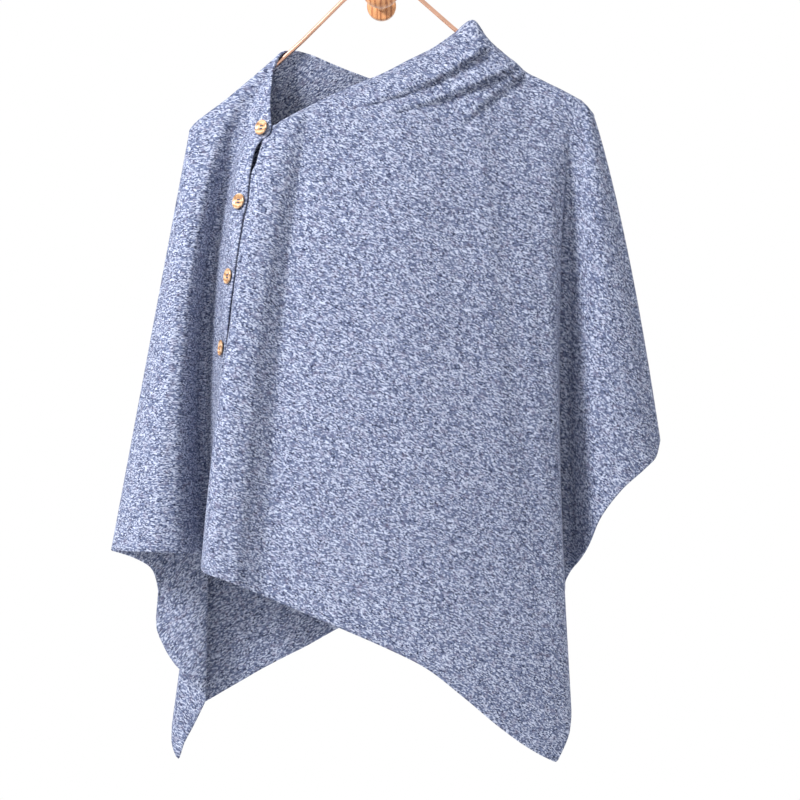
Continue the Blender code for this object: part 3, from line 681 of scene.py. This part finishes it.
def cloth_shell(name, first, last, layout, made, free_from, free_to):
    """Closed shell of one stretch, rounded along its free edges, with its cloth coordinates."""
    columns, rows, points, normals, crest = stretch(first, last, name)
    half = WALL / 2000
    wide, tall = points.shape[:2]
    uv = spread(columns, rows, layout)
    outer = points + normals * half
    inner = points - normals * half
    rim = [(i, 0) for i in range(wide)]
    rim += [(wide - 1, j) for j in range(1, tall)]
    rim += [(i, tall - 1) for i in range(wide - 2, -1, -1)]
    rim += [(0, j) for j in range(tall - 2, 0, -1)]
    edge_mid = []
    for i, j in rim:
        pull = np.zeros(3)
        if j == 0 and not crest[i]:
            pull += unit(points[i, 0] - points[i, 1])
        if j == tall - 1:
            pull += unit(points[i, -1] - points[i, -2])
        if i == 0 and free_from:
            pull += unit(points[0, j] - points[1, j])
        if i == wide - 1 and free_to:
            pull += unit(points[-1, j] - points[-2, j])
        edge_mid.append(points[i, j] + unit(pull) * half * 0.85 if pull.any() else points[i, j])
    count = wide * tall
    faces = []
    for i in range(wide - 1):
        for j in range(tall - 1):
            a = i * tall + j
            b = a + tall
            faces.append((a, b, b + 1, a + 1))
            faces.append((count + a, count + a + 1, count + b + 1, count + b))
    for k in range(len(rim)):
        i, j = rim[k]
        p, q = rim[(k + 1) % len(rim)]
        a = i * tall + j
        b = p * tall + q
        mid_a = 2 * count + k
        mid_b = 2 * count + (k + 1) % len(rim)
        faces.append((a, mid_a, mid_b, b))
        faces.append((mid_a, count + a, count + b, mid_b))
    every = np.concatenate([outer.reshape(-1, 3), inner.reshape(-1, 3), np.array(edge_mid)])
    obj = add_mesh(name + "_knit", every, faces, made)
    flat_uv = uv.reshape(-1, 2)
    rim_uv = np.array([uv[i, j] for i, j in rim])
    all_uv = np.concatenate([flat_uv, flat_uv, rim_uv])
    layer = obj.data.uv_layers.new(name="cloth")
    corners = np.empty(len(obj.data.loops), int)
    obj.data.loops.foreach_get("vertex_index", corners)
    layer.data.foreach_set("uv", all_uv[corners].ravel())
    return obj


def rounded_path(corners, turn_steps):
    """A closed flat path with each corner replaced by its bend."""
    path = []
    count = len(corners)
    for i in range(count):
        here = np.array(corners[i][:2], float)
        before = unit(np.array(corners[i - 1][:2], float) - here)
        after = unit(np.array(corners[(i + 1) % count][:2], float) - here)
        radius = corners[i][2]
        half = math.acos(np.clip(before @ after, -1, 1)) / 2
        middle = here + unit(before + after) * radius / math.sin(half)
        turn = math.pi - 2 * half
        steps = max(2, round(turn / turn_steps))
        start = here + before * radius / math.tan(half) - middle
        way = np.sign(before[0] * after[1] - before[1] * after[0])
        for k in range(steps + 1):
            angle = -way * turn * k / steps
            c = math.cos(angle)
            s = math.sin(angle)
            path.append(middle + np.array([start[0] * c - start[1] * s, start[0] * s + start[1] * c]))
    return np.array(path)


def tube(name, centre, radii, sides, made, closed=False):
    """A round tube through the points, with one radius a point."""
    centre = np.asarray(centre)
    count = len(centre)
    if closed:
        run = unit(np.roll(centre, -1, axis=0) - np.roll(centre, 1, axis=0))
    else:
        run = unit(np.gradient(centre, axis=0))
    across = np.zeros_like(centre)
    guide = unit(np.cross(run[0], (0.0, 1.0, 0.0)) + 1e-9)
    for i in range(count):
        guide = unit(guide - run[i] * (guide @ run[i]))
        across[i] = guide
    lift = np.cross(run, across)
    angle = np.linspace(0, 2 * math.pi, sides, endpoint=False)
    cos = np.cos(angle)[None, :, None]
    sin = np.sin(angle)[None, :, None]
    ring = across[:, None] * cos + lift[:, None] * sin
    points = (centre[:, None] + ring * np.asarray(radii)[:, None, None]).reshape(-1, 3)
    faces = []
    for i in range(count if closed else count - 1):
        ahead = (i + 1) % count
        for k in range(sides):
            side = (k + 1) % sides
            faces.append((i * sides + k, ahead * sides + k, ahead * sides + side, i * sides + side))
    if not closed:
        faces.append(tuple(range(sides)))
        faces.append(tuple((count - 1) * sides + k for k in range(sides)))
    return add_mesh(name, points, faces, made)


def turned(name, profile, sides, origin, axis, made):
    """A round piece from (radius, along) pairs in mm, closed where the radius is 0."""
    axis = unit(np.array(axis, float))
    helper = np.array((0.0, 0.0, 1.0)) if abs(axis[2]) < 0.9 else np.array((1.0, 0.0, 0.0))
    first = unit(np.cross(helper, axis))
    second = np.cross(axis, first)
    points = []
    rings = []
    for radius, along in profile:
        base = origin + axis * along / 1000
        if radius == 0:
            rings.append([len(points)])
            points.append(base)
            continue
        rings.append(list(range(len(points), len(points) + sides)))
        for k in range(sides):
            angle = 2 * math.pi * k / sides
            reach = math.cos(angle) * first + math.sin(angle) * second
            points.append(base + reach * radius / 1000)
    faces = []
    for low, high in zip(rings, rings[1:]):
        for k in range(sides):
            ahead = (k + 1) % sides
            if len(low) == 1:
                faces.append((low[0], high[k], high[ahead]))
            elif len(high) == 1:
                faces.append((low[k], low[ahead], high[0]))
            else:
                faces.append((low[k], low[ahead], high[ahead], high[k]))
    return add_mesh(name, points, faces, made)


def wall_peg(made):
    """Rose flat on the wall, stem and ball, along the viewer's line."""
    ball = BALL / 2
    centre = HANGER_OFF_WALL + BALL_FORE
    meet = math.asin(STEM / BALL)
    profile = [(0, 0), (ROSE / 2, 0), (ROSE / 2, ROSE_DEEP - 2)]
    for k in range(1, 7):
        angle = math.pi / 2 * k / 6
        profile.append((ROSE / 2 - 2 + 2 * math.cos(angle), ROSE_DEEP - 2 + 2 * math.sin(angle)))
    profile += [(STEM / 2 + 1.0, ROSE_DEEP + 0.1), (STEM / 2, ROSE_DEEP + 1.0)]
    for k in range(37):
        angle = meet + (math.pi - meet) * k / 36
        radius = 0 if k == 36 else ball * math.sin(angle)
        profile.append((radius, centre - ball * math.cos(angle)))
    return turned("peg_turned", profile, 64, np.zeros(3), (0, -1, 0), made)


def button_seat(down):
    """Point, outward direction and stand-off on the left wrap where a button sits."""
    rows = np.linspace(CREST_SHARE, 1, 1200)
    edge = seen_grid(KNOTS[-1:], rows)[0]
    row = rows[np.argmin(abs(edge[:, 1] - down))]
    back = np.linspace(0, 24, 97)
    path = place(seen_grid(KNOTS[-1] - back, np.array([row])))[:, 0]
    reach = np.linalg.norm(path - path[0], axis=1) * 1000
    column = KNOTS[-1] - back[np.argmin(abs(reach - BUTTON_IN))]
    point = place(seen_grid(np.array([column]), np.array([row])))[0, 0]
    columns = np.clip(column + np.linspace(-9, 9, 19), 0, KNOTS[-1])
    around = place(seen_grid(columns, row + np.linspace(-0.018, 0.018, 19)))
    near = np.linalg.norm(around - point, axis=-1) < BUTTON / 1900
    patch = around[near] - around[near].mean(axis=0)
    normal = np.linalg.svd(patch)[2][2]
    normal = normal if normal[1] < 0 else -normal
    stand = ((around[near] - point) @ normal).max() * 1000
    return point, normal, stand


def button(number, down, made, thread):
    """A round button with a raised rim, a dished middle and four sewn holes."""
    point, normal, stand = button_seat(down)
    rim = BUTTON / 2
    base = stand + WALL / 2 + CLEAR + (0.9 if number == 1 else 0.2)
    top = base + BUTTON_DEEP
    profile = [(0, base), (rim - 2.5, base), (rim - 0.5, base + 0.8), (rim, base + 1.5)]
    profile += [(rim, top - 0.7)]
    for k in range(1, 9):
        angle = math.pi * k / 8
        profile.append((rim - 0.9 + 0.9 * math.cos(angle), top - 0.7 + 0.7 * math.sin(angle)))
    profile += [(rim - 2.6, top - 1.1), (rim - 4.0, top - 1.3), (0, top - 1.3)]
    obj = turned(f"button_{number}_turned", profile, 40, point, normal, made)
    helper = np.array((0.0, 0.0, 1.0))
    first = unit(np.cross(helper, normal))
    second = np.cross(normal, first)
    parts = []
    for a, b in ((-1, -1), (1, -1), (-1, 1), (1, 1)):
        spot = point + (first * a + second * b) * HOLE_OUT / 1000
        bore = [(0, base - 1), (HOLE / 2, base - 1), (HOLE / 2, top + 1), (0, top + 1)]
        parts.append(turned("hole", bore, 12, spot, normal, made))
    for hole in parts:
        cut = obj.modifiers.new("hole", "BOOLEAN")
        cut.operation = "DIFFERENCE"
        cut.solver = "EXACT"
        cut.object = hole
        bpy.context.view_layer.objects.active = obj
        with bpy.context.temp_override(object=obj, active_object=obj):
            bpy.ops.object.modifier_apply(modifier=cut.name)
    for hole in parts:
        bpy.data.objects.remove(hole)
    obj.data.shade_smooth()
    obj.data.set_sharp_from_angle(angle=math.radians(35))
    sewn = []
    for b in (-1, 1):
        bridge = []
        for k in range(13):
            angle = math.pi * k / 12
            a = -HOLE_OUT * math.cos(angle)
            rise = top - 1.9 + 1.3 * math.sin(angle)
            reach = first * a + second * (b * HOLE_OUT) + normal * rise
            bridge.append(point + reach / 1000)
        shape = tube(f"button_{number}_thread_{b + 2}", bridge, [THREAD / 2000] * len(bridge), 8, thread)
        sewn.append(shape)
    foot = [point + normal * h / 1000 for h in np.linspace(WALL / 2 - 0.4, base + 0.5, 5)]
    sewn.append(tube(f"button_{number}_shank", foot, [SHANK / 2000] * len(foot), 10, thread))
    return obj, sewn


knit = knit_material()
thread = thread_material("sewing_thread", (0.07, 0.08, 0.17))
wood = wood_material()
copper = copper_material()
shell = shell_material()

last = len(KNOTS) - 1
ridge = 3
tip = 18
front_layout = flat_cloth(0, RIGHT_SEAM, (ridge, tip))
back_layout = flat_cloth(RIGHT_SEAM, LEFT_SEAM, (RIGHT_SEAM, RIGHT_SEAM + 18))
left_layout = flat_cloth(LEFT_SEAM, last, (LEFT_SEAM, LEFT_SEAM + 7))
front = cloth_shell("front", 0, RIGHT_SEAM, front_layout, knit, True, False)
back = cloth_shell("back", RIGHT_SEAM, LEFT_SEAM, back_layout, knit, False, False)
left = cloth_shell("left_wrap", LEFT_SEAM, last, left_layout, knit, False, True)
CLOTH = (
    (front, "front", "knit_front"),
    (back, "back", "knit_back"),
    (left, "left_wrap", "knit_left"),
)
for piece, name, where in CLOTH:
    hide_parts(name)
    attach(piece, "root")

for number, down in enumerate(BUTTON_DOWN, 1):
    body, sewn = button(number, down, shell, thread)
    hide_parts(f"button_{number}")
    for piece in [body] + sewn:
        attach(piece, "root")

path = rounded_path(WIRE_PATH, math.radians(3))
wire_line = place(np.column_stack([path, np.zeros(len(path))]))
wire = tube("hanger_wire", wire_line, [WIRE / 2000] * len(wire_line), 20, copper, closed=True)
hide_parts("hanger")
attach(wire, "root")

peg = wall_peg(wood)
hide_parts("peg")
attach(peg, "root")

# Floor, light and camera
bpy.ops.mesh.primitive_plane_add(size=3.0, location=(0.02, 0.2, -1.25))
floor = bpy.context.object
floor.name = "floor"
pale, _, _, pale_shader = new_material("pale_floor")
pale_shader.inputs["Base Color"].default_value = (0.9, 0.9, 0.9, 1)
pale_shader.inputs["Roughness"].default_value = 0.9
floor.data.materials.append(pale)

world = bpy.data.worlds.new("studio")
bpy.context.scene.world = world
world.use_nodes = True
world.node_tree.nodes["Background"].inputs["Color"].default_value = (1, 1, 1, 1)
world.node_tree.nodes["Background"].inputs["Strength"].default_value = 1.0


def area_light(name, where, aim, size, power):
    made = bpy.data.lights.new(name, "AREA")
    made.shape = "DISK"
    made.size = size
    made.energy = power
    obj = bpy.data.objects.new(name, made)
    bpy.context.scene.collection.objects.link(obj)
    obj.location = where
    towards = np.array(aim) - np.array(where)
    flat = math.hypot(towards[0], towards[1])
    turn = math.atan2(towards[1], towards[0]) - math.pi / 2
    obj.rotation_euler = (math.atan2(flat, -towards[2]), 0, turn)
    return obj


area_light("key", (-1.5, -1.3, 0.9), (0, -0.1, -0.4), 0.7, 72)

LEVEL = -(SEEN_CENTRE - PEG_DOWN) / 1000
camera_data = bpy.data.cameras.new("camera")
camera_data.sensor_width = 36
camera_data.lens = 36 * SEEN_FROM / 800
camera_data.clip_end = 50
camera = bpy.data.objects.new("camera", camera_data)
bpy.context.scene.collection.objects.link(camera)
camera.location = ((SEEN_CENTRE - PEG_RIGHT) / 1000, -(HANGER_OFF_WALL + SEEN_FROM) / 1000, LEVEL)
camera.rotation_euler = (math.pi / 2, 0, 0)
bpy.context.scene.camera = camera
bpy.context.scene.view_settings.view_transform = "Standard"
